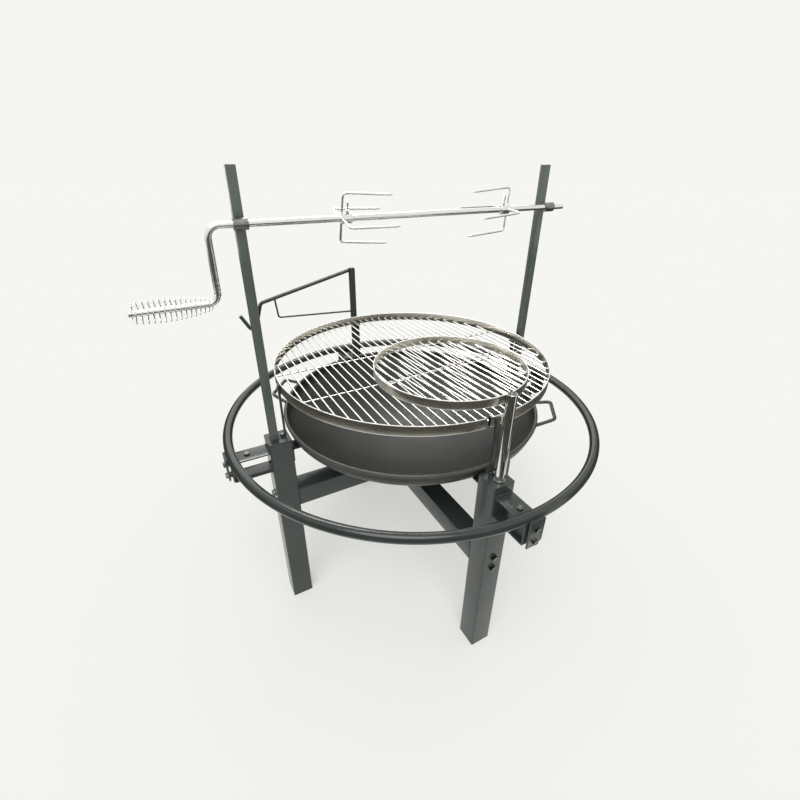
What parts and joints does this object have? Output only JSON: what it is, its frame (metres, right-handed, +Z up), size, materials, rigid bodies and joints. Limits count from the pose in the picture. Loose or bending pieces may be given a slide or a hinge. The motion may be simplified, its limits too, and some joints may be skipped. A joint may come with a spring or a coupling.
{
  "type": "fire pit rotisserie grill",
  "caption": "Round fire pit on square legs with a foot ring, a wire cooking grill, a swinging side grill, a hand-cranked spit with forks and a swivelling pot crane.",
  "frame": {"origin": "on the floor under the middle of the object's outline, 51 mm from the pit's axis, because the crank makes the outline longer on -X", "axes": "+Z up; +X along the spit, away from the crank; +Y from the front leg with the side grill to the rear leg with the pot crane"},
  "size_m": [1.1972, 1.0946, 1.22],
  "materials": {
    "black_coat": "satin black powder coat",
    "bowl_coat": "matte black heat-proof coat",
    "bright_zinc": "bright zinc plate",
    "dark_steel": "dark oiled steel",
    "stainless": "polished stainless steel",
    "chrome": "bright chrome plate"
  },
  "bodies": {
    "root": {"leg_left": "black_coat", "ring_arm_left": "black_coat", "grill_support_left": "black_coat", "leg_right": "black_coat", "ring_arm_right": "black_coat", "grill_support_right": "black_coat", "leg_front": "black_coat", "ring_arm_front": "black_coat", "grill_support_front": "black_coat", "leg_rear": "black_coat", "ring_arm_rear": "black_coat", "grill_support_rear": "black_coat", "foot_plates": "black_coat", "leg_caps": "black_coat", "beam_upper": "black_coat", "beam_lower": "black_coat", "ring_tabs": "black_coat", "foot_ring": "black_coat", "bowl_rests": "black_coat", "post_left": "black_coat", "post_right": "black_coat", "bowl_handle_left": "black_coat", "bowl_handle_right": "black_coat", "fire_bowl": "bowl_coat", "leg_bolts": "bright_zinc", "leg_washers": "bright_zinc", "arm_bolts": "bright_zinc", "tab_bolts": "bright_zinc", "grill_screws": "bright_zinc", "support_bolts": "bright_zinc", "beam_end_plates": "dark_steel", "leg_nuts": "dark_steel", "arm_nuts": "dark_steel", "tab_nuts": "dark_steel", "tab_spacers": "dark_steel", "grill_nuts": "dark_steel", "spit_bushes": "dark_steel", "front_pivot_pin": "dark_steel", "rear_pivot_pin": "dark_steel", "pivot_washers": "dark_steel", "grill_band": "stainless", "grill_wires": "stainless", "grill_cross_wires": "stainless"},
    "spit": {"spit_rod": "chrome", "coil_grip": "chrome"},
    "fork_left": {"fork_left": "chrome"},
    "screw_left": {"thumbscrew_left": "chrome"},
    "fork_right": {"fork_right": "chrome"},
    "screw_right": {"thumbscrew_right": "chrome"},
    "side_grill": {"grill_sleeve": "chrome", "side_grill_band": "stainless", "side_grill_wires": "stainless", "side_cross_wire": "stainless"},
    "crane": {"crane_post": "black_coat", "crane_cap": "black_coat", "crane_arm": "black_coat", "crane_brace": "black_coat"}
  },
  "joints": [
    {"name": "spit_turn", "type": "hinge", "parent": "root", "child": "spit", "pos_m": [0.05135, -0.022, 1.116], "axis": [1, 0, 0], "continuous": true},
    {"name": "fork_left_slide", "type": "slide", "parent": "spit", "child": "fork_left", "axis": [1, 0, 0], "range_m": [-0.18, 0.1]},
    {"name": "screw_left_turn", "type": "hinge", "parent": "fork_left", "child": "screw_left", "pos_m": [-0.13365, -0.022, 1.116], "axis": [0, -0.2756, 0.9613], "range_deg": [-180, 180]},
    {"name": "fork_right_slide", "type": "slide", "parent": "spit", "child": "fork_right", "axis": [1, 0, 0], "range_m": [-0.1, 0.12]},
    {"name": "screw_right_turn", "type": "hinge", "parent": "fork_right", "child": "screw_right", "pos_m": [0.31035, -0.022, 1.116], "axis": [0, -0.0698, 0.9976], "range_deg": [-180, 180]},
    {"name": "side_grill_swing", "type": "hinge", "parent": "root", "child": "side_grill", "pos_m": [0.05135, -0.412, 0.7], "axis": [0, 0, 1], "continuous": true},
    {"name": "crane_swing", "type": "hinge", "parent": "root", "child": "crane", "pos_m": [0.05135, 0.412, 0.745], "axis": [0, 0, 1], "range_deg": [-190, 35]}
  ]
}
